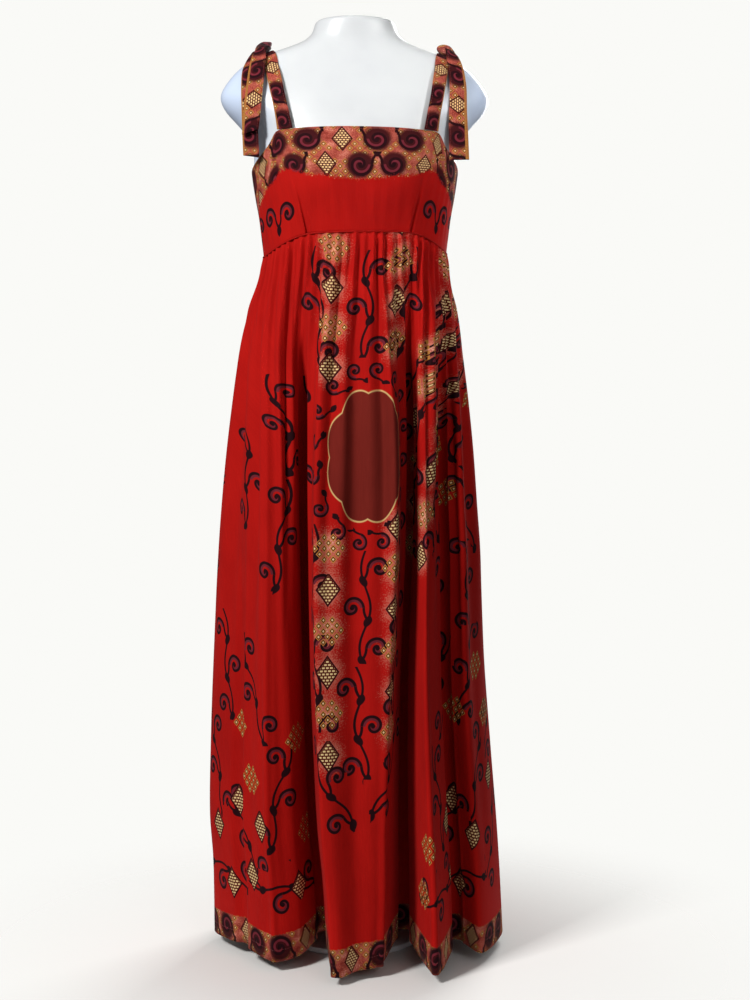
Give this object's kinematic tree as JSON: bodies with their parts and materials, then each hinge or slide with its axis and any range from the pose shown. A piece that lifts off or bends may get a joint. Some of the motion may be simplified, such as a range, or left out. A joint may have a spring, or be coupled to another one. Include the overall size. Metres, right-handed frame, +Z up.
{
  "type": "maxi dress on a limbless dress form",
  "caption": "Full-length empire-waist dress with knotted shoulder ties and a gathered skirt, filled out by a limbless dress form on a hidden pole stand.",
  "frame": {"origin": "centre of the part's box, on the floor, at the underside of the stand's base", "axes": "+Z up; the front of the dress faces -Y; +X is the wearer's left"},
  "size_m": [0.4302, 0.363, 1.348],
  "materials": {
    "red cotton": "matte woven cotton, printed",
    "form plastic": "smooth satin shell",
    "stand steel": "satin enamel",
    "zip metal": "satin enamel"
  },
  "bodies": {
    "dress_and_form": {"bodice_front": "red cotton", "bodice_back_left": "red cotton", "bodice_back_right": "red cotton", "skirt_front": "red cotton", "skirt_back_left": "red cotton", "skirt_back_right": "red cotton", "strap_front_left": "red cotton", "strap_front_right": "red cotton", "strap_back_left": "red cotton", "strap_back_right": "red cotton", "tail_front_left": "red cotton", "tail_front_right": "red cotton", "tail_back_left": "red cotton", "tail_back_right": "red cotton", "knot_left": "red cotton", "knot_right": "red cotton", "form_torso": "form plastic", "stand_base": "stand steel", "stand_collar": "stand steel", "stand_pole": "stand steel", "zip_slider": "zip metal"},
    "zip_pull": {"zip_pull": "zip metal"}
  },
  "joints": [
    {"name": "zip_pull_swing", "type": "hinge", "parent": "dress_and_form", "child": "zip_pull", "pos_m": [-0.0022, 0.11981, 1.1398], "axis": [1, 0, 0], "range_deg": [0, 110]}
  ]
}
